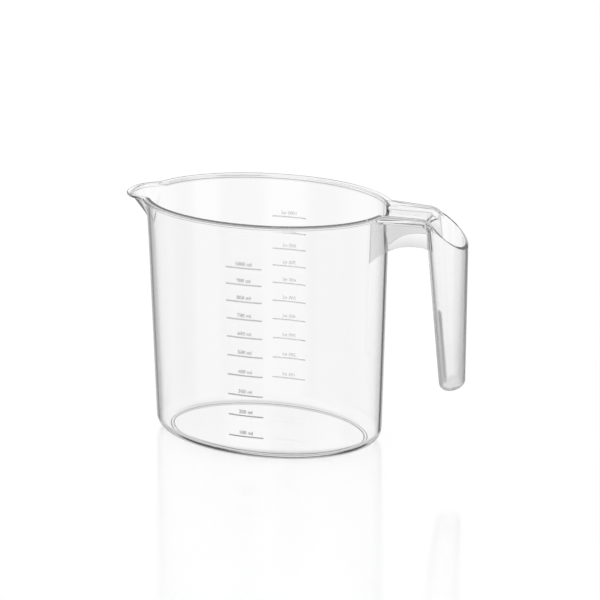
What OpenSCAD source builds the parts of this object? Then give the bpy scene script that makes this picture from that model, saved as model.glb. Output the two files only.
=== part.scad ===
// Clear measuring jug: drafted oval body, conical spout, bridged hollow grip.
// Millimetres, +Z up, handle towards +X, spout towards -X.
// The origin lies under the middle of the whole outline, on the table.

/* [Body] */
// Outside length of the oval wall at the rim
body_l = 136.6; // [125:0.2:150]
// Outside width of the oval wall at the rim
body_w = 90.2; // [82:0.2:100]
// Height from the table to the rim
body_h = 140; // [125:0.5:160]
// Thickness of the wall and the floor
wall = 1.6; // [1.2:0.1:2.2]
// Angle by which the wall opens towards the rim
draft = 1; // [0.5:0.1:2]
// Outside radius of the bottom edge
base_r = 8; // [5:0.5:10]

/* [Foot] */
// Width of the ring the jug stands on
foot_w = 2.4; // [1.6:0.1:3.2]
// Height of that ring under the floor
foot_h = 0.8; // [0.5:0.1:1.2]

/* [Rim] */
// How far the rim stands out from the wall
rim_overhang = 2.9; // [2:0.1:4]
// Thickness of the rim
rim_t = 1.6; // [1.2:0.1:2.2]

/* [Spout] */
// Radius of the spout's mouth
spout_r = 13.2; // [11:0.2:15]
// Distance of the mouth's middle inside the wall's end
spout_inset = 2; // [0:0.5:4]
// Half angle of the spout's cone
spout_lean = 33; // [28:1:38]
// Angle by which the mouth dips towards its tip
spout_tilt = 6; // [3:0.5:9]
// How far the lip stands out from the mouth
lip_overhang = 1.3; // [0.8:0.1:2]

/* [Bridge] */
// Width of the bridge where it leaves the wall
bridge_w = 35.6; // [33:0.2:40]
// Width of the bridge at its neck
neck_w = 29; // [27:0.2:31]
// Distance of the neck from the wall
neck_l = 17.7; // [14:0.5:21]
// Width of the channel along the bridge
channel_w = 20; // [16:0.5:21]
// Depth of the channel under the rim
channel_d = 3; // [2:0.2:4]
// Thickness of the bridge's strips and floor
deck_t = 1.6; // [1.2:0.1:2]
// Thickness of the bridge's side skirts
skirt_t = 1.6; // [1.2:0.1:1.8]
// Distance of the skirts inside the strips' edges
skirt_inset = 1.2; // [0.6:0.1:1.4]
// Radius of the arch for the fingers
arch_r = 30; // [26:0.5:34]
// Depth of the arch's crown under the rim
arch_drop = 15.2; // [12:0.2:18]
// Distance of the arch's middle from the wall
arch_reach = 16.7; // [14:0.5:19]

/* [Grip] */
// Distance of the grip's lower end from the wall's end
grip_reach = 38; // [34:0.5:44]
// Height of the grip's lower end above the table
grip_bottom = 41.6; // [34:0.2:50]
// Depth of the grip at its lower end
grip_d = 14; // [13:0.1:15.5]
// Width of the grip at its lower end
grip_w = 21.6; // [20:0.2:24]
// Thickness of the grip's wall
grip_wall = 1.6; // [1.2:0.1:1.9]
// Angle by which the grip opens upwards
grip_draft = 2.7; // [2:0.1:3.2]
// Angle by which the grip leans towards the jug
grip_tilt = 3.2; // [2:0.1:4]
// Outside radius of the grip's bottom edge
grip_r = 2.5; // [2.2:0.1:2.8]
// Length of the level top before the grip slopes down
crest_l = 20.2; // [17:0.1:22]
// Radius of the bend from level to slope
crest_r = 8.8; // [8:0.1:12]
// Angle by which the grip's mouth slopes down
crest_slope = 39.7; // [36:0.1:43]
// Thickness of the rib inside the grip
rib_t = 1.4; // [1:0.1:1.8]
// How far the rib stands out from the grip's wall
rib_d = 2; // [1.5:0.1:2.5]
// Height of the rib above the grip's lower end
rib_h = 44; // [30:1:60]

/* [Scale] */
// Number of graduation bars on each side
scale_count = 10; // [5:1:12]
// Height of the lowest bar
scale_first = 15.7; // [14:0.5:20]
// Height of the highest bar
scale_last = 115.3; // [90:0.5:118]
// Length of a bar
bar_l = 20; // [14:0.5:26]
// Height of a bar
bar_h = 0.9; // [0.6:0.1:1.2]
// How far a bar stands out from the wall
bar_proud = 0.4; // [0.3:0.05:0.6]

/* [Hidden] */
$fn = 120;
clear_tone = [0.92, 0.93, 0.95];
rim_tone = [0.86, 0.87, 0.90];
grip_tone = [0.84, 0.85, 0.87];
bar_tone = [0.70, 0.70, 0.72];
// Overrun of every cutting solid
overrun = 5;
// Normals at which an oval passes from end to shoulder and from shoulder to side arcs
end_ray = [4 / 5, 3 / 5];
shoulder_ray = [5 / 13, 12 / 13];
// Radius of the end arcs as a share of the ellipse's own end radius
end_radius_share = 1.06;
// Steps to which an oval's half axes and its arcs' radii are rounded
axis_step = 0.04;
arc_step = 0.1;
// Step to which a plate's distance from its oval is rounded
plate_step = 0.001;
// Reach of the wedges that part the arcs
wedge_reach = 130;
// Direction of the grip's slanted mouth and number of straight steps in the bend before it
slope_ray = [cos(crest_slope), -sin(crest_slope)];
bend_steps = 12;
// Thickness of the sheets between which the grip's own space is spanned
sheet = 0.01;
// Cutting solids reach this many times the size they cut
reach_share = 2;
// The lower graduations stand further apart, as the narrower part of the jug asks
bulge_share = 0.16;
// The body's outline at the underside of its floor
shell_h = body_h - foot_h;
body_rise = shell_h * tan(draft);
body_arcs = oval_arcs(body_l / 2 - body_rise, body_w / 2 - body_rise);
floor_out = corner_centre(draft, base_r).x;
// Places along X, from the middle of the body
wall_x = body_l / 2;
spout_x = wall_x - spout_inset;
neck_x = wall_x + neck_l;
arch_x = wall_x + arch_reach;
arch_z = body_h - arch_drop - arch_r;
crest_x = wall_x + crest_l;
grip_x = wall_x + grip_reach;
grip_top_x = grip_x - (body_h - grip_bottom) * tan(grip_tilt);
grip_h = (body_h - grip_bottom) / cos(grip_tilt) + 2 * overrun;
grip_arcs = oval_arcs(grip_w / 2, grip_d / 2);
end_out = corner_centre(grip_draft, grip_r).x;
// Half width of the bridge where its edges start, inside the wall
taper = (bridge_w - neck_w) / 2 / neck_l;
root_x = wall_x - bridge_w / 2;
root_w = bridge_w / 2 + taper * (wall_x - root_x);
// The whole outline's ends and middle
tip_x = -spout_x - (spout_r + lip_overhang) * cos(spout_tilt);
back_x = grip_x + (grip_d / 2 + end_out) * cos(grip_tilt) - grip_r * sin(grip_tilt) + grip_r;
mid_x = (tip_x + back_x) / 2;

// Centre of a bottom edge's arc: x is its distance outside the outline, y its height
function corner_centre(lean, r) = [r * tan(lean) - r / cos(lean), r];

// Points mirrored by a pair of signs
function flip(points, signs) = [for (p = points) [p.x * signs.x, p.y * signs.y]];

// Points in the opposite order
function turned(points) = [for (i = [len(points) - 1 : -1 : 0]) points[i]];

// Eight arcs of an oval with half axes near a and b: [centre, radius, sector].
// End, shoulder and side arcs meet on common normals, so they run on smoothly, and the sectors
// part the oval along those normals.
function oval_arcs(a, b) =
    let (
        half_l = axis_step * round(a / axis_step),
        half_w = axis_step * round(b / axis_step),
        pull = (1 - shoulder_ray.y) / shoulder_ray.x,
        push = 1 - end_ray.y - pull * end_ray.x,
        goal = end_radius_share * half_w * half_w / half_l,
        step = arc_step * round((half_w - (1 - pull) * goal - pull * half_l) / push / arc_step),
        r0 = (half_w - pull * half_l - step * push) / (1 - pull),
        r1 = r0 + step,
        end = [half_l - r0, 0],
        mid = end - step * end_ray,
        r2 = r1 + mid.x / shoulder_ray.x,
        side = [0, half_w - r2],
        end_far = end + wedge_reach * end_ray,
        mid_far = mid + wedge_reach * shoulder_ray,
        end_sector = concat([end, end_far], flip([end_far], [1, -1])),
        mid_sector = [mid, end_far, mid_far],
        side_sector = concat([mid, mid_far], flip([mid_far, mid], [-1, 1]))
    )
    concat(
        [for (s = [[1, 1], [-1, 1]]) [flip([end], s)[0], r0, flip(end_sector, s)]],
        [for (s = [[1, 1], [-1, 1], [-1, -1], [1, -1]]) [flip([mid], s)[0], r1, flip(mid_sector, s)]],
        [for (s = [[1, 1], [1, -1]]) [flip([side], s)[0], r2, flip(side_sector, s)]]
    );

// Keep the part of a shape that lies in an arc's sector
module in_sector(arc) {
    intersection() {
        children();
        translate([0, 0, -overrun])
            linear_extrude(reach_share * body_h)
                polygon(arc[2]);
    }
}

// Sweep a profile around the oval: x is the distance outside it, y the height
module around(arcs) {
    for (arc = arcs)
        in_sector(arc)
            translate(arc[0])
                rotate_extrude()
                    translate([arc[1], 0])
                        children();
}

// Flat oval plate of thickness t, its outline moved out from the oval
module plate(arcs, t, out) {
    rounded_out = plate_step * round(out / plate_step);
    for (arc = arcs)
        in_sector(arc)
            translate(arc[0])
                cylinder(h = t, r = arc[1] + rounded_out);
}

// Section of a leaning wall from its rounded bottom edge up to height h
module wall_profile(h, t, lean, r) {
    centre = corner_centre(lean, r);
    normal = [cos(lean), -sin(lean)];
    polygon([
        centre + r * normal,
        [h * tan(lean), h],
        [h * tan(lean) - t / cos(lean), h],
        centre + (r - t) * normal
    ]);
}

// Section of that rounded bottom edge
module edge_profile(t, lean, r) {
    translate(corner_centre(lean, r))
        intersection() {
            difference() {
                circle(r);
                circle(r - t);
            }
            polygon([
                [0, 0],
                [0, -reach_share * r],
                [reach_share * r, -reach_share * r],
                reach_share * r * [cos(lean), -sin(lean)]
            ]);
        }
}

// The space taken by one end of the body, up to above its rim: 0 is the handle's end, 1 the spout's
module body_end(which) {
    arc = body_arcs[which];
    rise = (shell_h + overrun) * tan(draft);
    translate([arc[0].x, arc[0].y, foot_h])
        cylinder(h = shell_h + overrun, r1 = arc[1], r2 = arc[1] + rise);
}

// The handle's top line at a depth under it, in X and Z: level, bend and slanted mouth
function crest_line(depth) =
    let (
        turn = [crest_x, body_h - crest_r],
        out = [-slope_ray.y, slope_ray.x],
        step = crest_slope / bend_steps
    )
    concat(
        [[0, body_h - depth]],
        [for (i = [0 : bend_steps])
            turn + (crest_r - depth) * [sin(step * i), cos(step * i)]],
        [turn + (crest_r - depth) * out + grip_reach * slope_ray]
    );

// Band under the handle's top line between two depths, carried across the jug to a width
module under_crest(shallow, deep, width) {
    rotate([90, 0, 0])
        linear_extrude(width, center = true)
            polygon(concat(crest_line(shallow), turned(crest_line(deep))));
}

// Plan of a strip along one edge of the bridge, between two distances inside that edge
module edge_plan(near, far) {
    polygon([
        [root_x, near - root_w],
        [neck_x, near - neck_w / 2],
        [grip_top_x, near - neck_w / 2],
        [grip_top_x, far - neck_w / 2],
        [neck_x, far - neck_w / 2],
        [root_x, far - root_w]
    ]);
}

// Plan of a strip from one edge of the bridge to the channel
module strip_plan() {
    polygon([
        [root_x, -root_w],
        [neck_x, -neck_w / 2],
        [grip_top_x, -neck_w / 2],
        [grip_top_x, -channel_w / 2],
        [root_x, -channel_w / 2]
    ]);
}

// Move a node so that the origin is under the middle of the whole outline
module centred() {
    translate([-mid_x, 0, 0])
        children();
}

// Place the grip's own frame: it stands on its lower end, long side across the jug
module at_grip() {
    translate([grip_x, 0, grip_bottom])
        rotate([0, -grip_tilt, 0])
            rotate([0, 0, 90])
                children();
}

// The space taken by the grip, spanned between its lower and its upper outline
module grip_space() {
    at_grip()
        hull()
            for (z = [0, grip_h])
                translate([0, 0, z])
                    linear_extrude(sheet)
                        for (arc = grip_arcs)
                            intersection() {
                                translate(arc[0])
                                    circle(arc[1] + z * tan(grip_draft));
                                polygon(arc[2]);
                            }
}

// Place the spout's own frame at the middle of its mouth
module at_spout() {
    translate([-spout_x, 0, body_h - spout_inset * sin(spout_tilt)])
        rotate([0, -spout_tilt, 0])
            children();
}

// Cone standing on its tip, with radius r at the mouth, carried on above it
module cone(r, above) {
    full = r + above * tan(spout_lean);
    translate([0, 0, -r / tan(spout_lean)])
        cylinder(h = full / tan(spout_lean), r1 = 0, r2 = full);
}

// The pouring hollow of the spout
module spout_hollow() {
    at_spout()
        cone(spout_r - wall / cos(spout_lean), overrun);
}

module body_wall() {
    color(clear_tone)
        centred()
            difference() {
                translate([0, 0, foot_h])
                    around(body_arcs)
                        wall_profile(shell_h, wall, draft, base_r);
                spout_hollow();
                translate([root_x, -channel_w / 2, body_h - channel_d])
                    cube([bridge_w, channel_w, channel_d + overrun]);
            }
}

module base_edge() {
    color(rim_tone)
        centred()
            translate([0, 0, foot_h])
                around(body_arcs)
                    edge_profile(wall, draft, base_r);
}

module base() {
    color(clear_tone)
        centred()
            translate([0, 0, foot_h])
                plate(body_arcs, wall, floor_out);
}

module foot_ring() {
    color(rim_tone)
        centred()
            around(body_arcs)
                translate([floor_out - foot_w, 0])
                    square([foot_w, foot_h]);
}

// The rim on both sides, open at the spout and at the bridge
module rim_run() {
    difference() {
        around(body_arcs)
            polygon([
                [body_rise - rim_t * tan(draft), body_h - rim_t],
                [body_rise + rim_overhang, body_h - rim_t],
                [body_rise + rim_overhang, body_h],
                [body_rise, body_h]
            ]);
        at_spout()
            cylinder(h = reach_share * overrun, r = spout_r + lip_overhang, center = true);
        translate([0, 0, body_h - overrun])
            linear_extrude(reach_share * overrun)
                polygon([
                    [root_x, -root_w],
                    [neck_x, -neck_w / 2],
                    [neck_x, neck_w / 2],
                    [root_x, root_w]
                ]);
    }
}

// The front or the rear half of the space around the body
module half_space(side) {
    translate([-body_l, side > 0 ? 0 : -body_w, 0])
        cube([reach_share * body_l, body_w, body_h + overrun]);
}

module rim_front() {
    color(rim_tone)
        centred()
            intersection() {
                rim_run();
                half_space(-1);
            }
}

module rim_rear() {
    color(rim_tone)
        centred()
            intersection() {
                rim_run();
                half_space(1);
            }
}

module spout() {
    color(clear_tone)
        centred()
            difference() {
                at_spout()
                    cone(spout_r, 0);
                spout_hollow();
                body_end(1);
            }
}

module spout_lip() {
    color(rim_tone)
        centred()
            difference() {
                at_spout()
                    translate([0, 0, -rim_t])
                        cylinder(h = rim_t, r = spout_r + lip_overhang);
                at_spout()
                    cone(spout_r, overrun);
                body_end(1);
            }
}

module bridge_floor() {
    color(clear_tone)
        centred()
            difference() {
                intersection() {
                    under_crest(channel_d, channel_d + deck_t, channel_w);
                    translate([root_x, -channel_w / 2, 0])
                        cube([grip_top_x - root_x, channel_w, body_h]);
                }
                body_end(0);
                grip_space();
            }
}

// One strip beside the channel with the channel's side wall under it
module bridge_flange() {
    difference() {
        intersection() {
            union() {
                under_crest(0, deck_t, bridge_w + body_w);
                under_crest(0, channel_d + deck_t, channel_w + 2 * deck_t);
            }
            linear_extrude(body_h)
                strip_plan();
        }
        body_end(0);
        grip_space();
    }
}

module bridge_front_flange() {
    color(rim_tone)
        centred()
            bridge_flange();
}

module bridge_rear_flange() {
    color(rim_tone)
        centred()
            mirror([0, 1, 0])
                bridge_flange();
}

// One side wall under a strip, arched over the fingers
module bridge_skirt() {
    difference() {
        translate([0, 0, arch_z])
            linear_extrude(body_h - arch_z)
                edge_plan(skirt_inset, skirt_inset + skirt_t);
        under_crest(-body_h, deck_t, bridge_w + body_w);
        under_crest(0, channel_d + deck_t, channel_w + 2 * deck_t);
        translate([arch_x, 0, arch_z])
            rotate([90, 0, 0])
                cylinder(h = bridge_w + body_w, r = arch_r, center = true);
        body_end(0);
        grip_space();
    }
}

module bridge_front_skirt() {
    color(clear_tone)
        centred()
            bridge_skirt();
}

module bridge_rear_skirt() {
    color(clear_tone)
        centred()
            mirror([0, 1, 0])
                bridge_skirt();
}

module grip_tube() {
    color(grip_tone)
        centred()
            difference() {
                at_grip()
                    around(grip_arcs)
                        wall_profile(grip_h, grip_wall, grip_draft, grip_r);
                under_crest(-body_h, 0, body_w);
                intersection() {
                    under_crest(-overrun, channel_d, channel_w);
                    translate([0, -body_w / 2, 0])
                        cube([grip_top_x, body_w, body_h + overrun]);
                }
            }
}

module grip_edge() {
    color(grip_tone)
        centred()
            at_grip()
                around(grip_arcs)
                    edge_profile(grip_wall, grip_draft, grip_r);
}

module grip_end() {
    color(grip_tone)
        centred()
            at_grip()
                plate(grip_arcs, grip_wall, end_out);
}

// Thin rib on the grip's inside, next to the jug, running out into the wall at its top
module grip_rib() {
    arc = grip_arcs[6];
    skin = arc[1] - grip_wall / cos(grip_draft);
    inside = arc[0].y + skin;
    rise = tan(grip_draft);
    color(grip_tone)
        centred()
            at_grip()
                intersection() {
                    rotate([90, 0, 90])
                        linear_extrude(rib_t, center = true)
                            polygon([
                                [inside + grip_wall * rise - rib_d, grip_wall],
                                [grip_d / 2 + end_out, grip_wall],
                                [inside + grip_r * rise, grip_r],
                                [grip_d + rib_h * rise, grip_r],
                                [grip_d + rib_h * rise, rib_h],
                                [inside + rib_h * rise, rib_h],
                                [inside + (rib_h - rib_d) * rise - rib_d, rib_h - rib_d]
                            ]);
                    translate(arc[0])
                        cylinder(h = grip_h, r1 = skin, r2 = skin + grip_h * rise);
                }
}

// Height of a graduation bar's middle
function bar_z(i) =
    let (t = i / (scale_count - 1))
    scale_first + (scale_last - scale_first) * (t + bulge_share * t * (1 - t));

// Graduation bars on the front wall, following its curve and its draft
module scale_bars() {
    arc = body_arcs[7];
    for (i = [0 : scale_count - 1]) {
        low = bar_z(i) - bar_h / 2;
        high = bar_z(i) + bar_h / 2;
        low_r = arc[1] + (low - foot_h) * tan(draft);
        high_r = arc[1] + (high - foot_h) * tan(draft);
        sweep = bar_l / low_r * 180 / PI;
        translate(arc[0])
            rotate([0, 0, 270 - sweep / 2])
                rotate_extrude(angle = sweep)
                    polygon([
                        [low_r, low],
                        [low_r + bar_proud, low],
                        [high_r + bar_proud, high],
                        [high_r, high]
                    ]);
    }
}

module front_scale() {
    color(bar_tone)
        centred()
            scale_bars();
}

module rear_scale() {
    color(bar_tone)
        centred()
            rotate([0, 0, 180])
                scale_bars();
}

body_wall();
base_edge();
base();
foot_ring();
rim_front();
rim_rear();
spout();
spout_lip();
bridge_floor();
bridge_front_flange();
bridge_rear_flange();
bridge_front_skirt();
bridge_rear_skirt();
grip_tube();
grip_edge();
grip_end();
grip_rib();
front_scale();
rear_scale();
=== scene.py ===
# Looks of a clear measuring jug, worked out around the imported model
import bmesh
import bpy
import numpy as np
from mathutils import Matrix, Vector


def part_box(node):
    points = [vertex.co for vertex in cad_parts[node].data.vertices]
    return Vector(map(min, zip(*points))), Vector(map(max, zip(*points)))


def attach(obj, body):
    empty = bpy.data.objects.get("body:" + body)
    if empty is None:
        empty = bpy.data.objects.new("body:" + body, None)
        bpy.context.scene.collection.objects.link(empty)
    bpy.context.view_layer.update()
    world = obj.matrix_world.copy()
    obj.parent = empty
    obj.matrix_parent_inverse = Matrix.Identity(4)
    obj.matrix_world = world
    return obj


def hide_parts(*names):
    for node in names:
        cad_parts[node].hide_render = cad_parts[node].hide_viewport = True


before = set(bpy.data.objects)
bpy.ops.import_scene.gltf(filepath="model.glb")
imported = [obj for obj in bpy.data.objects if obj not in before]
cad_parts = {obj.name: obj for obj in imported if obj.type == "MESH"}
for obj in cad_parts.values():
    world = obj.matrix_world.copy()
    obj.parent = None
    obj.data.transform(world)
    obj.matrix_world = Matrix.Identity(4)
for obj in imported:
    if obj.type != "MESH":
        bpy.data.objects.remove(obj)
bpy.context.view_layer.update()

mm = 0.001
cutPast = 20.0    # mm that a cutting solid runs on past what it cuts
cutOver = 6.0     # mm that a hollow's cutter runs on above its mouth
cutUnder = 1.0    # mm that the foot's cutter starts below the table
scene = bpy.context.scene
baseLow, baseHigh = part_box("base")
middleX = (baseLow.x + baseHigh.x) / 2 / mm   # the body's axis in the frame


# Colours and nodes

def hexColor(text):
    # sRGB hex to linear: the low end is a straight line, the rest a power of 2.4
    srgb = np.array([int(text[i:i + 2], 16) for i in (1, 3, 5)]) / 255
    linear = np.where(srgb <= 0.04045, srgb / 12.92, ((srgb + 0.055) / 1.055) ** 2.4)
    return (*linear.tolist(), 1.0)


def addNode(tree, kind, settings=None, inputs=None, links=None):
    # settings are the node's own properties, inputs are constants, links are (input, source socket)
    node = tree.nodes.new(kind)
    for key, value in (settings or {}).items():
        setattr(node, key, value)
    for key, value in (inputs or {}).items():
        node.inputs[key].default_value = value
    for key, source in (links or {}).items():
        tree.links.new(source, node.inputs[key])
    return node


def newMaterial(name):
    # A material with an empty node tree
    material = bpy.data.materials.new(name)
    material.use_nodes = True
    material.node_tree.nodes.clear()
    return material, material.node_tree


# Meshes

def shifted(points):
    # From the body's own axis to the frame
    return points + np.array([middleX, 0, 0])


def makeObject(name, data):
    # An object at the origin around a mesh, text, lamp or camera
    made = bpy.data.objects.new(name, data)
    scene.collection.objects.link(made)
    return made


def faceOutward(mesh, weld=0.0):
    # Points closer than the weld become one, then all faces turn outwards
    shell = bmesh.new()
    shell.from_mesh(mesh)
    if weld:
        bmesh.ops.remove_doubles(shell, verts=shell.verts[:], dist=weld)
    bmesh.ops.recalc_face_normals(shell, faces=shell.faces[:])
    shell.to_mesh(mesh)
    shell.free()


def loftSolid(name, rings):
    # Closed loops (levels, points, 3) in mm, joined by quads, with a flat face on the first and last
    levels, count = rings.shape[:2]
    level = np.arange(levels - 1)[:, None] * count
    here = np.arange(count)[None, :]
    onward = (here + 1) % count
    quads = np.stack([level + here, level + onward, level + count + onward, level + count + here], -1)
    first = np.arange(count)[::-1]
    last = np.arange(count) + (levels - 1) * count
    mesh = bpy.data.meshes.new(name)
    mesh.from_pydata((rings.reshape(-1, 3) * mm).tolist(), [],
                     quads.reshape(-1, 4).tolist() + [first.tolist(), last.tolist()])
    faceOutward(mesh)
    return makeObject(name, mesh)


def combine(target, operation, *tools):
    # Boolean of closed solids, taken into the target's own mesh
    for tool in tools:
        step = target.modifiers.new(operation, "BOOLEAN")
        step.operation = operation
        step.solver = "MANIFOLD"
        step.object = tool
        graph = bpy.context.evaluated_depsgraph_get()
        result = bpy.data.meshes.new_from_object(target.evaluated_get(graph))
        target.modifiers.clear()
        target.data = result
        bpy.data.objects.remove(tool)
    return target


def smoothByAngle(made, degrees):
    # Smooth shading, with the edges that bend more than the angle left sharp
    made.data.shade_smooth()
    made.data.set_sharp_from_angle(angle=np.radians(degrees))


def arc(centre, radius, start, stop, steps):
    # Points (x, y) on a circle's arc, angles in degrees
    turn = np.radians(np.linspace(start, stop, steps))
    return np.stack([centre[0] + radius * np.cos(turn), centre[1] + radius * np.sin(turn)], -1)


def ovalPoints(halfLength, halfWidth, phi):
    # Ellipse point whose normal has angle phi
    reach = np.hypot(halfLength * np.cos(phi), halfWidth * np.sin(phi))
    return halfLength ** 2 / reach * np.cos(phi), halfWidth ** 2 / reach * np.sin(phi)


def ovalRings(halfLength, halfWidth, out, height, phi):
    # Ellipse points moved out along their normals and up: (levels, points, 3)
    x, y = ovalPoints(halfLength, halfWidth, phi)
    return np.stack([x + out * np.cos(phi), y + out * np.sin(phi), height + 0 * out * phi], -1)


def boxRings(x, yLow, yHigh, zLow, zHigh, corner, steps=5):
    # Rounded rectangles in Y and Z, one at each x: four quarter circles run one after the other
    turn = np.radians(np.concatenate([np.linspace(a, a + 90, steps) for a in (180, 270, 0, 90)]))
    right = np.repeat([0, 1, 1, 0], steps)
    upper = np.repeat([0, 0, 1, 1], steps)
    x, yLow, yHigh, zLow, zHigh = np.broadcast_arrays(x, yLow, yHigh, zLow, zHigh)
    y = np.where(right, (yHigh - corner)[:, None], (yLow + corner)[:, None]) + corner * np.cos(turn)
    z = np.where(upper, (zHigh - corner)[:, None], (zLow + corner)[:, None]) + corner * np.sin(turn)
    return np.stack([x[:, None] + 0 * turn, y, z], -1)


def leanAboutY(points, degrees, origin):
    # Turn about Y by minus the angle, then move to the origin
    c, s = np.cos(np.radians(degrees)), np.sin(np.radians(degrees))
    x, y, z = points[..., 0], points[..., 1], points[..., 2]
    return np.stack([x * c - z * s, y, x * s + z * c], -1) + np.array(origin)


# Body: drafted oval shell with rounded bottom edge, foot ring, rim, and a spout drawn out of its end

body = {
    "length": 136.6, "width": 90.2, "height": 140.0, "wall": 1.6, "draft": 1.0,
    "edgeRadius": 8.0, "footHeight": 0.8, "footWidth": 2.4,
    "rimOverhang": 2.9, "rimThick": 1.6, "rimRound": 0.7, "rimFillet": 0.8, "mouthRound": 0.5,
    "around": 310, "aroundSpout": 160, "wallSteps": 10, "spoutSteps": 24, "crease": 32.0,
    "edgeSteps": 18, "innerEdgeSteps": 16, "footSteps": 9, "filletSteps": 10, "rimSteps": 12,
    "mouthSteps": 8,
    # arcs that stop short of their ends, so that no two rows fall together
    "footTurn": (4, 86), "filletTurn": (170, 92), "mouthTurn": (160, 95),
}
spout = {
    "radius": 13.2, "inset": 2.0, "lean": 33.0, "tilt": 4.0, "lipOverhang": 1.3, "blend": 1.5,
    "flare": 0.55, "fineHalfAngle": 32.0, "fineBelow": 3.0,
}
lean = np.radians(body["draft"])
rise = (body["height"] - body["footHeight"]) * np.tan(lean)
halfLength = body["length"] / 2 - rise
halfWidth = body["width"] / 2 - rise
edgeOut = body["edgeRadius"] * (np.tan(lean) - 1 / np.cos(lean))
wallX = body["length"] / 2
spoutSlope = np.tan(np.radians(spout["lean"]))
noSpout = -spout["radius"]   # a cone radius below zero leaves the wall as it is


def aroundBody():
    # Normal angles round the oval, closer together over the spout
    near = np.radians(spout["fineHalfAngle"])
    fine = np.linspace(np.pi - near, np.pi + near, body["aroundSpout"], endpoint=False)
    coarse = np.linspace(np.pi + near, 3 * np.pi - near, body["around"], endpoint=False)
    return np.concatenate([fine, coarse])[None, :]


def wallOut(z):
    # How far the drafted wall stands out from the foot's oval at a height
    return (z - body["footHeight"]) * np.tan(lean)


def bodyRings(profile):
    # Columns: distance out from the oval, height, radius of the spout's cone there, inset. The cone is
    # met along each normal, easing off past its flank by the flare, a soft maximum of wall and cone
    # gives the hollow curve between them, and the inset comes off that, so that both skins run alike.
    phi = aroundBody()
    out, height, radius, inset = profile[:, :1], profile[:, 1:2], profile[:, 2:3], profile[:, 3:]
    x, y = ovalPoints(halfLength, halfWidth, phi)
    ahead = (x + wallX - spout["inset"]) * np.cos(phi) + y * np.sin(phi)
    aside = (x + wallX - spout["inset"]) ** 2 + y ** 2 - ahead ** 2
    width = np.clip(radius, 0, None)
    inside = width ** 2 - aside
    reach = np.sqrt((inside + np.hypot(inside, (spout["flare"] * width) ** 2)) / 2)
    cone = reach - ahead + np.minimum(radius, 0)
    soft = spout["blend"]
    spread = soft * np.logaddexp(out / soft, cone / soft)
    # the mouth dips by its tilt, less and less down the cone
    deep = np.clip((body["height"] - height) / (spout["radius"] / spoutSlope), 0, 1)
    dip = np.tan(np.radians(spout["tilt"])) * (spread - out) * (1 - deep)
    return shifted(ovalRings(halfLength, halfWidth, spread - inset, height - dip, phi))


def wallRows(low, high, inset):
    # Rows of a plain wall between two heights, closer together where the spout is
    start = body["height"] - spout["radius"] / spoutSlope - spout["fineBelow"]
    height = np.concatenate([np.linspace(low, start, body["wallSteps"])[1:],
                             np.linspace(start, high, body["spoutSteps"])[1:]])
    cone = spout["radius"] - (body["height"] - height) * spoutSlope
    return np.stack([wallOut(height), height, cone, inset + 0 * height], -1)


def withCone(points, radius, inset=0.0):
    # Adds the columns for the cone's radius and the inset, each one value or one for each row
    rows = len(points)
    return np.column_stack([points, np.broadcast_to(radius, rows), np.broadcast_to(inset, rows)])


def footHalf(direction):
    # Half an ellipse from the foot's lowest line up its outer (1) or inner (-1) flank
    turn = np.radians(np.linspace(*body["footTurn"], body["footSteps"]))
    half = body["footWidth"] / 2
    out = edgeOut - half + direction * half * np.sin(turn)
    return np.stack([out, body["footHeight"] * (1 - np.cos(turn))], -1)


def bodyOutside():
    # From the foot's underside up the rounded edge and the wall, out under the rim, over it and inwards,
    # so that the closing face falls in the hollow
    top = body["height"]
    under = top - body["rimThick"]
    fillet, rim = body["rimFillet"], body["rimRound"]
    edgeZ = body["footHeight"] + body["edgeRadius"]
    edge = arc((edgeOut, edgeZ), body["edgeRadius"], -90, -body["draft"], body["edgeSteps"])
    filletArc = arc((wallOut(under) + fillet, under - fillet), fillet, *body["filletTurn"],
                    body["filletSteps"])
    rimOut = rise + body["rimOverhang"]
    rimArc = np.concatenate([arc((rimOut - rim, under + rim), rim, -90, 0, body["rimSteps"]),
                             arc((rimOut - rim, top - rim), rim, 0, 90, body["rimSteps"])])
    coneUnder = spout["radius"] - body["rimThick"] * spoutSlope
    inward = [[rise, top, spout["radius"], 2 * body["wall"]]]
    profile = np.concatenate([
        withCone(np.concatenate([footHalf(1), edge]), noSpout),
        wallRows(edge[-1, 1], under - fillet, 0),
        withCone(filletArc, coneUnder + (filletArc[:, 0] - wallOut(under)) / 2),
        withCone(rimArc, spout["radius"] + spout["lipOverhang"] + rimArc[:, 0] - rimOut), inward])
    return loftSolid("bodyOutside", bodyRings(profile))


def bodyInside():
    # The jug's hollow: floor, inner edge, inner wall, and the rounded mouth
    inner = body["wall"] / np.cos(lean)
    mouth, top = body["mouthRound"], body["height"]
    edgeZ = body["footHeight"] + body["edgeRadius"]
    edge = arc((edgeOut, edgeZ), body["edgeRadius"] - body["wall"], -90, -body["draft"],
               body["innerEdgeSteps"])
    roundArc = arc((mouth - inner, top - mouth), mouth, *body["mouthTurn"], body["mouthSteps"])
    lipRows = np.concatenate([roundArc, [[roundArc[-1, 0], top + cutOver]]])
    lipOut = np.stack([rise + 0 * lipRows[:, 0], lipRows[:, 1]], -1)
    profile = np.concatenate([
        withCone(edge, noSpout),
        wallRows(edge[-1, 1], top - mouth, inner),
        withCone(lipOut, spout["radius"], -lipRows[:, 0])])
    return loftSolid("bodyInside", bodyRings(profile))


def footInside():
    # Clears the underside within the foot ring, rounding the ring's inner flank
    out = edgeOut - body["footWidth"]
    start = [[edgeOut - body["footWidth"] / 2, -cutUnder]]
    profile = np.concatenate([start, footHalf(-1), [[out, body["footHeight"]]]])
    return loftSolid("footInside", bodyRings(withCone(profile, noSpout)))


# Bridge: deck with a channel along it, and an arched skirt under each edge

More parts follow.
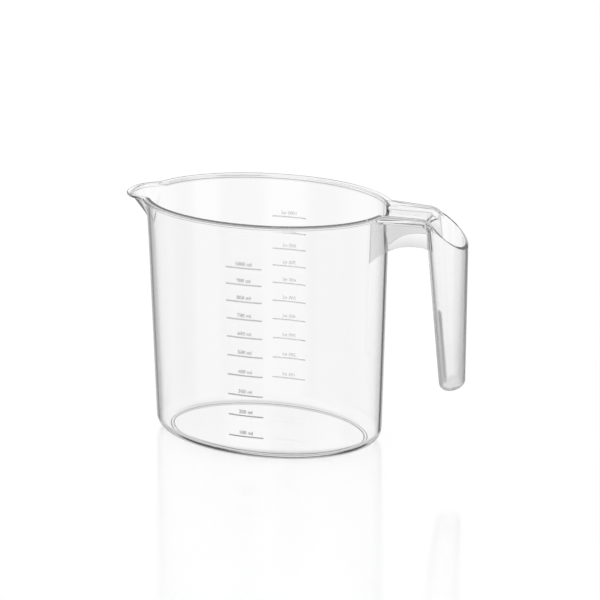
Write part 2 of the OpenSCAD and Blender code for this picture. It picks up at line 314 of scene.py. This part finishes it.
bridge = {
    "width": 35.6, "neckWidth": 27.4, "neckLength": 22.0, "neckSoftness": 1.5,
    "channelWidth": 20.0, "channelDepth": 3.0, "channelRound": 1.0, "channelStart": 20.0,
    "deck": 1.6, "deckRound": 0.6, "troughSunk": 0.3, "troughRound": 0.8, "rooted": 11.0,
    "skirt": 1.6, "skirtInset": 1.2, "skirtRound": 0.3,
    "skirtEnds": 0.4, "skirtEase": 9.0, "easeBefore": 4.0, "easePast": 3.0,
    "archRadius": 30.0, "archDrop": 15.2, "archReach": 16.7,
    "crestLength": 20.2, "crestRadius": 8.8, "crestSlope": 39.7, "steps": 90,
}
crestStart = wallX + bridge["crestLength"]
crestRun = bridge["crestRadius"] * np.sin(np.radians(bridge["crestSlope"]))


def crest(x):
    # Height of the handle's top line: level, then a bend, then a straight slope
    along = np.clip(x - crestStart, 0, crestRun)
    bend = np.sqrt(bridge["crestRadius"] ** 2 - along ** 2) - bridge["crestRadius"]
    fall = np.clip(x - crestStart - crestRun, 0, None) * np.tan(np.radians(bridge["crestSlope"]))
    return body["height"] + bend - fall


def crestSlant(x):
    # Lengthens an upright thickness so that it stays the same across the slope
    along = np.clip(x - crestStart, 0, crestRun)
    return 1 / np.sqrt(1 - (along / bridge["crestRadius"]) ** 2)


def bridgeHalf(x):
    # Half width: straight taper that runs softly into the parallel neck
    taper = (bridge["width"] - bridge["neckWidth"]) / 2 / bridge["neckLength"]
    soft = bridge["neckSoftness"]
    ahead = (wallX + bridge["neckLength"] - x) / soft
    return bridge["neckWidth"] / 2 + taper * soft * np.logaddexp(0, ahead)


def bridgeStations(before):
    # Stations along the handle, from inside the body to the grip's axis
    return np.linspace(wallX - before, gripTopX, bridge["steps"])


def bridgeDeck():
    # Rounded rectangles along the handle, as wide as the bridge and one deck thick under the top line
    x = bridgeStations(bridge["rooted"])
    half, top = bridgeHalf(x), crest(x)
    rings = boxRings(x, -half, half, top - bridge["deck"] * crestSlant(x), top, bridge["deckRound"])
    return loftSolid("bridgeDeck", shifted(rings))


def bridgeTrough():
    # The channel's floor and sides, before the channel is cut
    x = bridgeStations(bridge["rooted"])
    half = bridge["channelWidth"] / 2 + bridge["deck"]
    deep = (bridge["channelDepth"] + bridge["deck"]) * crestSlant(x)
    top = crest(x) - bridge["troughSunk"]
    rings = boxRings(x, -half, half, crest(x) - deep, top, bridge["troughRound"])
    return loftSolid("bridgeTrough", shifted(rings))


def bridgeChannel():
    # Rounded slot along the handle, from the channel's depth up past the top line
    x = bridgeStations(bridge["channelStart"])
    half = bridge["channelWidth"] / 2
    deep = bridge["channelDepth"] * crestSlant(x)
    rings = boxRings(x, -half, half, crest(x) - deep, crest(x) + cutPast, bridge["channelRound"])
    return loftSolid("bridgeChannel", shifted(rings))


def bridgeSkirt(side):
    # Upright sheet from the arch for the fingers up into the deck, thinner where it meets the walls
    x = bridgeStations(bridge["rooted"])
    centreZ = body["height"] - bridge["archDrop"] - bridge["archRadius"]
    arch = centreZ + np.sqrt(bridge["archRadius"] ** 2 - (x - wallX - bridge["archReach"]) ** 2)
    outer = bridgeHalf(x) - bridge["skirtInset"]
    ends = np.minimum(x - wallX + bridge["easeBefore"],
                      wallX + bridge["neckLength"] + bridge["easePast"] - x)
    ease = np.clip(ends / bridge["skirtEase"], 0, 1)
    share = bridge["skirtEnds"] + (1 - bridge["skirtEnds"]) * ease ** 2 * (3 - 2 * ease)
    inner = outer - bridge["skirt"] * share
    low, high = (inner, outer) if side > 0 else (-outer, -inner)
    rings = boxRings(x, low, high, arch, crest(x) - bridge["deck"] / 2, bridge["skirtRound"])
    return loftSolid("bridgeSkirt", shifted(rings))


# Grip: hollow tapered oval tube, leaning towards the jug, with a slanted open top

grip = {
    "reach": 38.0, "bottom": 41.6, "depth": 14.0, "width": 21.6, "wall": 1.6, "draft": 2.7, "tilt": 3.2,
    "edgeRadius": 2.5, "overrun": 10.0, "around": 200, "edgeSteps": 10, "wallSteps": 30,
    "notchReach": 22.4, "notchDeep": 6.0, "notchSteps": 12,
}
rib = {
    "thick": 1.4, "deep": 2.0, "height": 44.0, "sunk": 0.7, "rooted": 0.4, "round": 0.3, "least": 0.02,
    "steps": 30, "topTurn": (0.1, 1.5), "topSteps": 8,
}
trim = {"length": 70.0, "half": 40.0, "top": 220.0, "under": 0.04, "round": 1.0, "steps": 160}
gripLean = np.radians(grip["draft"])
gripHeight = (body["height"] - grip["bottom"]) / np.cos(np.radians(grip["tilt"])) + grip["overrun"]
gripEdgeOut = grip["edgeRadius"] * (np.tan(gripLean) - 1 / np.cos(gripLean))
gripTopX = wallX + grip["reach"] - (body["height"] - grip["bottom"]) * np.tan(np.radians(grip["tilt"]))


def placeGrip(points):
    # The oval's long axis lies across the jug: a quarter turn about Z, then the lean
    turned = np.stack([-points[..., 1], points[..., 0], points[..., 2]], -1)
    return shifted(leanAboutY(turned, grip["tilt"], (wallX + grip["reach"], 0, grip["bottom"])))


def gripSolid(name, inset, top):
    # Tapered oval tube with a rounded bottom edge, all its walls moved in by the inset
    edge = arc((gripEdgeOut, grip["edgeRadius"]), grip["edgeRadius"] - inset, -90, -grip["draft"],
               grip["edgeSteps"])
    height = np.linspace(edge[-1, 1], top, grip["wallSteps"])[1:]
    wall = np.stack([height * np.tan(gripLean) - inset / np.cos(gripLean), height], -1)
    profile = np.concatenate([edge, wall])
    phi = np.linspace(0, 2 * np.pi, grip["around"], endpoint=False)[None, :]
    rings = ovalRings(grip["width"] / 2, grip["depth"] / 2, profile[:, :1], profile[:, 1:], phi)
    return loftSolid(name, placeGrip(rings))


def aboveCrest():
    # Everything over the handle's top line, a hair under the deck's own top
    x = np.linspace(wallX, wallX + trim["length"], trim["steps"])
    low = crest(x) - trim["under"]
    rings = boxRings(x, -trim["half"], trim["half"], low, trim["top"], trim["round"])
    return loftSolid("aboveCrest", shifted(rings))


def mouthNotch():
    # The channel drops off square into the grip's mouth
    x = np.linspace(wallX + grip["notchReach"], gripTopX, grip["notchSteps"])
    half = bridge["channelWidth"] / 2
    low, high = body["height"] - grip["notchDeep"], body["height"] + cutPast
    rings = boxRings(x, -half, half, low, high, bridge["channelRound"])
    return loftSolid("mouthNotch", shifted(rings))


def gripRib():
    # Thin upright rib on the inner wall next to the jug, its top a quarter circle
    shoulder = rib["height"] - rib["deep"]
    topTurn = np.linspace(*rib["topTurn"], rib["topSteps"])
    height = np.concatenate([np.linspace(grip["wall"] - rib["rooted"], shoulder, rib["steps"]),
                             shoulder + rib["deep"] * np.sin(topTurn)])
    skin = grip["depth"] / 2 + height * np.tan(gripLean) - grip["wall"] / np.cos(gripLean)
    past = np.clip((height - shoulder) / rib["deep"], 0, 1)
    proud = rib["deep"] * np.sqrt(1 - past ** 2) + rib["least"]
    half = rib["thick"] / 2
    rings = boxRings(height, -half, half, skin - proud, skin + rib["sunk"], rib["round"])
    return loftSolid("gripRib", placeGrip(rings[..., [1, 2, 0]]))


def clearJug():
    # One closed mesh: outer solids joined, then the hollows cut, then the rib set in
    gripTube = combine(gripSolid("gripTube", 0, gripHeight), "DIFFERENCE", aboveCrest())
    jug = bodyOutside()
    combine(jug, "UNION", bridgeTrough(), bridgeDeck(), bridgeSkirt(-1), bridgeSkirt(1), gripTube)
    print("joined solids", len(jug.data.polygons))
    combine(jug, "DIFFERENCE", bodyInside(), bridgeChannel(),
            gripSolid("gripInside", grip["wall"], gripHeight + cutOver), mouthNotch(), footInside())
    combine(jug, "UNION", gripRib())
    smoothByAngle(jug, body["crease"])
    jug.name = "clearJug"
    print("jug faces", len(jug.data.polygons))
    return jug


# Scale: raised bars and plain numbers on the front and the rear wall

scale = {
    "count": 10, "first": 15.7, "last": 115.3, "bulge": 0.16, "barLength": 20.0, "barHeight": 0.7,
    "barProud": 0.4, "sunk": 0.3, "round": 0.25, "stations": 24, "crease": 40.0,
    "numberSize": 2.9, "numberLift": 1.1, "numberThick": 0.35, "numberCurve": 3, "weld": 0.0001,
    "unit": "ml", "step": 100,
}


def barHeights():
    # Even steps with a slight bulge, as the drafted walls widen upwards
    t = np.linspace(0, 1, scale["count"])
    return scale["first"] + (scale["last"] - scale["first"]) * (t + scale["bulge"] * t * (1 - t))


def onWall(along, out, height, side):
    # Places a flat drawing on the wall: along runs left to right as read from outside that side
    phi = np.radians(-90 if side < 0 else 90) + along / (halfLength ** 2 / halfWidth + wallOut(height))
    return shifted(ovalRings(halfLength, halfWidth, wallOut(height) + out, height, phi))


def scaleBars(side, name):
    # Each bar is a rounded section carried along the wall
    along = np.linspace(-1, 1, scale["stations"]) * scale["barLength"] / 2
    half = scale["barHeight"] / 2
    section = boxRings(along, -scale["sunk"], scale["barProud"], -half, half, scale["round"])
    bars = [loftSolid(name, onWall(section[..., 0], section[..., 1], section[..., 2] + height, side))
            for height in barHeights()]
    joined = combine(bars[0], "UNION", *bars[1:])
    smoothByAngle(joined, scale["crease"])
    joined.name = name
    return joined


def scaleNumbers(side, name):
    # Text made a mesh, then its points carried onto the wall, all in one shell
    shell = bmesh.new()
    for index, height in enumerate(barHeights()):
        curve = bpy.data.curves.new(name, "FONT")
        curve.body = f'{(index + 1) * scale["step"]} {scale["unit"]}'
        curve.align_x = "CENTER"
        curve.size = scale["numberSize"]
        curve.extrude = scale["numberThick"]
        curve.resolution_u = scale["numberCurve"]
        text = makeObject(name, curve)
        graph = bpy.context.evaluated_depsgraph_get()
        mesh = bpy.data.meshes.new_from_object(text.evaluated_get(graph))
        flat = np.empty(len(mesh.vertices) * 3)
        mesh.vertices.foreach_get("co", flat)
        flat = flat.reshape(-1, 3)
        lift = height + scale["barHeight"] / 2 + scale["numberLift"]
        placed = onWall(flat[:, 0], flat[:, 2], flat[:, 1] + lift, side)
        mesh.vertices.foreach_set("co", (placed * mm).ravel())
        shell.from_mesh(mesh)
        bpy.data.objects.remove(text)
    mesh = bpy.data.meshes.new(name)
    shell.to_mesh(mesh)
    shell.free()
    faceOutward(mesh, weld=scale["weld"] * mm)
    mesh.shade_flat()
    return makeObject(name, mesh)


# Materials

clear = {
    "tint": "#ffffff", "ior": 1.46, "haze": "#bcbcbc", "hazeDensity": 22.0, "caughtAfter": 4.5,
    "cloudSize": 18.0, "cloudDetail": 3, "cloudLow": 0.3, "cloudHigh": 0.7,
    "roughLow": 0.0, "roughHigh": 0.03,
    "waveSize": 26.0, "waveDetail": 1, "waveDepth": 0.05, "waveStrength": 0.25,
    "gripRough": 0.2, "gripTop": 130.0, "gripLow": 50.0, "gripTopShare": 0.25,
    "gripBefore": 2.0, "gripPast": 5.0,
}


def clearPolypropylene():
    # Moulded clear polypropylene: sharp see-through walls, faint flow waves, slightly uneven gloss, a
    # grey cast where the light runs a long way inside the wall, and a milky grip, more so lower down.
    # Light turned back inside the wall many times leaks out, as a milky plastic lets it.
    material, tree = newMaterial("clearPolypropylene")
    place = addNode(tree, "ShaderNodeTexCoord")
    cloud = addNode(tree, "ShaderNodeTexNoise",
                    inputs={"Scale": 1 / (clear["cloudSize"] * mm), "Detail": clear["cloudDetail"]},
                    links={"Vector": place.outputs["Object"]})
    rough = addNode(tree, "ShaderNodeMapRange",
                    inputs={"From Min": clear["cloudLow"], "From Max": clear["cloudHigh"],
                            "To Min": clear["roughLow"], "To Max": clear["roughHigh"]},
                    links={"Value": cloud.outputs["Fac"]})
    parts = addNode(tree, "ShaderNodeSeparateXYZ", links={0: place.outputs["Object"]})
    gripStart = (gripTopX - grip["depth"] / 2 + middleX) * mm
    onGrip = addNode(tree, "ShaderNodeMapRange", settings={"interpolation_type": "SMOOTHSTEP"},
                     inputs={"From Min": gripStart - clear["gripBefore"] * mm,
                             "From Max": gripStart + clear["gripPast"] * mm},
                     links={"Value": parts.outputs["X"]})
    lower = addNode(tree, "ShaderNodeMapRange",
                    inputs={"From Min": clear["gripTop"] * mm, "From Max": clear["gripLow"] * mm,
                            "To Min": clear["gripTopShare"] * clear["gripRough"],
                            "To Max": clear["gripRough"]},
                    links={"Value": parts.outputs["Z"]})
    satin = addNode(tree, "ShaderNodeMath", settings={"operation": "MULTIPLY_ADD"},
                    links={0: onGrip.outputs["Result"], 1: lower.outputs["Result"],
                           2: rough.outputs["Result"]})
    wave = addNode(tree, "ShaderNodeTexNoise",
                   inputs={"Scale": 1 / (clear["waveSize"] * mm), "Detail": clear["waveDetail"]},
                   links={"Vector": place.outputs["Object"]})
    bump = addNode(tree, "ShaderNodeBump",
                   inputs={"Strength": clear["waveStrength"], "Distance": clear["waveDepth"] * mm},
                   links={"Height": wave.outputs["Fac"]})
    shader = addNode(tree, "ShaderNodeBsdfPrincipled",
                     inputs={"Base Color": hexColor(clear["tint"]), "IOR": clear["ior"],
                             "Transmission Weight": 1.0},
                     links={"Roughness": satin.outputs[0], "Normal": bump.outputs["Normal"]})
    haze = addNode(tree, "ShaderNodeVolumeAbsorption",
                   inputs={"Color": hexColor(clear["haze"]), "Density": clear["hazeDensity"]})
    path = addNode(tree, "ShaderNodeLightPath")
    caught = addNode(tree, "ShaderNodeMath", settings={"operation": "GREATER_THAN"},
                     inputs={1: clear["caughtAfter"]}, links={0: path.outputs["Ray Depth"]})
    leak = addNode(tree, "ShaderNodeBsdfTransparent")
    both = addNode(tree, "ShaderNodeMixShader",
                   links={0: caught.outputs[0], 1: shader.outputs["BSDF"], 2: leak.outputs["BSDF"]})
    addNode(tree, "ShaderNodeOutputMaterial",
            links={"Surface": both.outputs[0], "Volume": haze.outputs["Volume"]})
    return material


frosted = {
    "front": {"tint": "#ececee", "pale": "#f6f6f7", "rough": 0.3},
    # rear: painted light, the same marks given a paler colour than the front ones
    "rear": {"tint": "#fcfcfc", "pale": "#ffffff", "rough": 0.06},
    "grain": 0.8, "grainDetail": 2, "clearShare": 0.9,
}


def frostedPolypropylene(side):
    # The same plastic with an eroded mould face: it scatters light and so reads grey. The rear wall's
    # copy carries painted light: a paler colour that shows the far marks brighter than the near ones,
    # and a lower roughness
    material, tree = newMaterial("frostedPolypropylene." + side)
    place = addNode(tree, "ShaderNodeTexCoord")
    grain = addNode(tree, "ShaderNodeTexNoise",
                    inputs={"Scale": 1 / (frosted["grain"] * mm), "Detail": frosted["grainDetail"]},
                    links={"Vector": place.outputs["Object"]})
    tone = addNode(tree, "ShaderNodeMix", settings={"data_type": "RGBA"},
                   inputs={6: hexColor(frosted[side]["tint"]), 7: hexColor(frosted[side]["pale"])},
                   links={0: grain.outputs["Fac"]})
    shader = addNode(tree, "ShaderNodeBsdfPrincipled",
                     inputs={"Roughness": frosted[side]["rough"], "IOR": clear["ior"],
                             "Transmission Weight": frosted["clearShare"]},
                     links={"Base Color": tone.outputs[2]})
    addNode(tree, "ShaderNodeOutputMaterial", links={"Surface": shader.outputs["BSDF"]})
    return material


plastic = clearPolypropylene()
print("clear plastic made")

jug = clearJug()
jug.data.materials.clear()
jug.data.materials.append(plastic)
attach(jug, "root")
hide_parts(*[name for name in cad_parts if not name.endswith("scale")])

for side, word in ((-1, "front"), (1, "rear")):
    marking = frostedPolypropylene(word)
    bars = scaleBars(side, word + "Bars")
    numbers = scaleNumbers(side, word + "Numbers")
    for piece in (bars, numbers):
        piece.data.materials.clear()
        piece.data.materials.append(marking)
        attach(piece, "root")
    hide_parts(word + "_scale")
print("scale made")


# Stage: white table and backdrop, dimmer towards the sides, camera at the photograph's angle

view = {
    "target": (18.81, 0.0, 82.67), "distance": 1095.0, "azimuth": 15.794, "elevation": 21.042,
    "focalPixels": 1965.0, "imagePixels": 600, "sensor": 36.0,
}
stage = {
    "floorSize": 8.0, "floorTone": "#a0a0a4", "floorShine": 0.35, "floorRough": 0.12, "floorGlow": 0.93,
    "ambient": 0.5, "frontShine": 0.95, "frontFade": -0.3,
    "sideStops": ((-1, 0.9), (-0.8, 0.8), (-0.62, 0.3), (-0.42, 0.3), (-0.37, 0.65), (-0.26, 0.8),
                  (-0.19, 0.95), (-0.14, 1), (0.12, 1), (0.22, 0.85), (0.33, 0.7), (0.39, 0.12),
                  (0.55, 0.12), (0.68, 0.8), (1, 0.95)),
    "glossStops": ((-1, 0.6), (-0.7, 0.3), (-0.3, 0.3), (-0.13, 1), (0.13, 1), (0.3, 0.3), (0.7, 0.25),
                   (1, 0.8)),
    "heightStops": ((-1, 1), (-0.95, 1), (-0.91, 0.08), (-0.75, 0.08), (-0.69, 0.65), (-0.53, 0.65),
                    (-0.46, 1), (-0.29, 1), (-0.24, 0.75), (-0.14, 0.75), (-0.09, 0.3), (0.02, 0.3),
                    (0.12, 1), (0.6, 1), (0.9, 0.4)),
    "panelStops": ((-1, 0), (-0.5, 0), (-0.45, 1), (-0.28, 1), (-0.23, 0), (1, 0)),
    "frontStops": ((-1, 0.85), (-0.84, 0.25), (-0.7, 0.3), (-0.6, 1), (-0.32, 1), (-0.22, 0.4), (0, 0.3),
                   (0.22, 0.4), (0.32, 1), (0.6, 1), (0.7, 0.3), (0.84, 0.25), (1, 0.85)),
    "keySize": 1.2, "keyPower": 2.0, "keyPlace": (-0.5, 0.4, 1.4),
}
azimuth, elevation = np.radians(view["azimuth"]), np.radians(view["elevation"])
acrossView = (float(np.cos(azimuth)), float(np.sin(azimuth)), 0.0)
alongView = (float(-np.sin(azimuth)), float(np.cos(azimuth)), 0.0)


def makeFloor():
    # White glossy table with a soft shadow and a faint reflection. Rays that come through or off the
    # plastic pass it and meet the white room around, so the jug shows the same white background.
    half = stage["floorSize"] / 2
    mesh = bpy.data.meshes.new("floor")
    corners = [(-half, -half, 0), (half, -half, 0), (half, half, 0), (-half, half, 0)]
    mesh.from_pydata(corners, [], [(0, 1, 2, 3)])
    floor = makeObject("floor", mesh)
    material, tree = newMaterial("whiteTable")
    path = addNode(tree, "ShaderNodeLightPath")
    glow = addNode(tree, "ShaderNodeMath", settings={"operation": "MULTIPLY"},
                   inputs={1: stage["floorGlow"]}, links={0: path.outputs["Is Camera Ray"]})
    light = addNode(tree, "ShaderNodeEmission", links={"Strength": glow.outputs[0]})
    matt = addNode(tree, "ShaderNodeBsdfDiffuse", inputs={"Color": hexColor(stage["floorTone"])})
    lit = addNode(tree, "ShaderNodeAddShader", links={0: light.outputs[0], 1: matt.outputs[0]})
    shine = addNode(tree, "ShaderNodeBsdfGlossy", inputs={"Roughness": stage["floorRough"]})
    table = addNode(tree, "ShaderNodeMixShader", inputs={0: stage["floorShine"]},
                    links={1: lit.outputs[0], 2: shine.outputs[0]})
    through = addNode(tree, "ShaderNodeMath", settings={"operation": "MAXIMUM"},
                      links={0: path.outputs["Is Glossy Ray"], 1: path.outputs["Is Transmission Ray"]})
    passing = addNode(tree, "ShaderNodeBsdfTransparent")
    both = addNode(tree, "ShaderNodeMixShader",
                   links={0: through.outputs[0], 1: table.outputs[0], 2: passing.outputs[0]})
    addNode(tree, "ShaderNodeOutputMaterial", links={"Surface": both.outputs[0]})
    mesh.materials.append(material)


def makeWorld():
    # White room for the camera. Around it, as seen off or through the plastic: white straight behind,
    # dark panels to both sides and along the horizon, which draw the outlines, and a like set in front.
    world = bpy.data.worlds.new("studio")
    world.use_nodes = True
    tree = world.node_tree
    tree.nodes.clear()
    place = addNode(tree, "ShaderNodeTexCoord")
    across = addNode(tree, "ShaderNodeVectorMath", settings={"operation": "DOT_PRODUCT"},
                     inputs={1: acrossView}, links={0: place.outputs["Generated"]})
    parts = addNode(tree, "ShaderNodeSeparateXYZ", links={0: place.outputs["Generated"]})
    levels = {}
    sideways, upward = across.outputs["Value"], parts.outputs["Z"]
    for name, source in (("sideStops", sideways), ("glossStops", sideways), ("frontStops", sideways),
                         ("heightStops", upward), ("panelStops", upward)):
        stops = stage[name]
        share = addNode(tree, "ShaderNodeMapRange", inputs={"From Min": -1.0, "From Max": 1.0},
                        links={"Value": source})
        ramp = addNode(tree, "ShaderNodeValToRGB", links={0: share.outputs["Result"]})
        points = ramp.color_ramp.elements
        while len(points) < len(stops):
            points.new(0.5)
        for point, (position, level) in zip(points, stops):
            point.position = (position + 1) / 2
            point.color = (level, level, level, 1)
        levels[name] = ramp.outputs[0]
    path = addNode(tree, "ShaderNodeLightPath")
    through = path.outputs["Is Transmission Ray"]
    sides = addNode(tree, "ShaderNodeMix", inputs={2: 1.0},
                    links={0: levels["panelStops"], 3: levels["sideStops"]})
    panels = addNode(tree, "ShaderNodeMix",
                     links={0: through, 2: levels["glossStops"], 3: sides.outputs[0]})
    behind = addNode(tree, "ShaderNodeVectorMath", settings={"operation": "DOT_PRODUCT"},
                     inputs={1: alongView}, links={0: place.outputs["Generated"]})
    front = addNode(tree, "ShaderNodeMapRange", inputs={"From Min": 0.0, "From Max": stage["frontFade"]},
                    links={"Value": behind.outputs["Value"]})
    walls = addNode(tree, "ShaderNodeMath", settings={"operation": "MULTIPLY"},
                    links={0: panels.outputs[0], 1: levels["heightStops"]})
    ahead = addNode(tree, "ShaderNodeMix", inputs={2: stage["frontShine"]},
                    links={0: through, 3: levels["frontStops"]})
    around = addNode(tree, "ShaderNodeMix",
                     links={0: front.outputs["Result"], 2: walls.outputs[0], 3: ahead.outputs[0]})
    soft = addNode(tree, "ShaderNodeMix", inputs={3: stage["ambient"]},
                   links={0: path.outputs["Is Diffuse Ray"], 2: around.outputs[0]})
    seen = addNode(tree, "ShaderNodeMath", settings={"operation": "MAXIMUM"},
                   links={0: soft.outputs[0], 1: path.outputs["Is Camera Ray"]})
    sky = addNode(tree, "ShaderNodeBackground", inputs={"Color": (1, 1, 1, 1)},
                  links={"Strength": seen.outputs[0]})
    addNode(tree, "ShaderNodeOutputWorld", links={"Surface": sky.outputs["Background"]})
    scene.world = world


def makeKey():
    # Weak soft lamp above, behind and to the left, turned towards the jug
    lamp = bpy.data.lights.new("key", "AREA")
    lamp.size = stage["keySize"]
    lamp.energy = stage["keyPower"]
    key = makeObject("key", lamp)
    key.location = stage["keyPlace"]
    key.rotation_euler = (-Vector(stage["keyPlace"])).to_track_quat("-Z", "Y").to_euler()


def makeCamera():
    # Back from the target by the distance, at the view's angles, with the focal length given in pixels
    back = -np.array(alongView) * np.cos(elevation) + np.array([0, 0, np.sin(elevation)])
    target = shifted(np.array(view["target"])) * mm
    data = bpy.data.cameras.new("camera")
    data.sensor_width = view["sensor"]
    data.lens = view["focalPixels"] / view["imagePixels"] * view["sensor"]
    camera = makeObject("camera", data)
    camera.location = target + back * view["distance"] * mm
    camera.rotation_euler = Vector(back.tolist()).to_track_quat("Z", "Y").to_euler()
    scene.camera = camera


makeFloor()
makeWorld()
makeKey()
makeCamera()
scene.view_settings.view_transform = "Standard"
print("stage made")
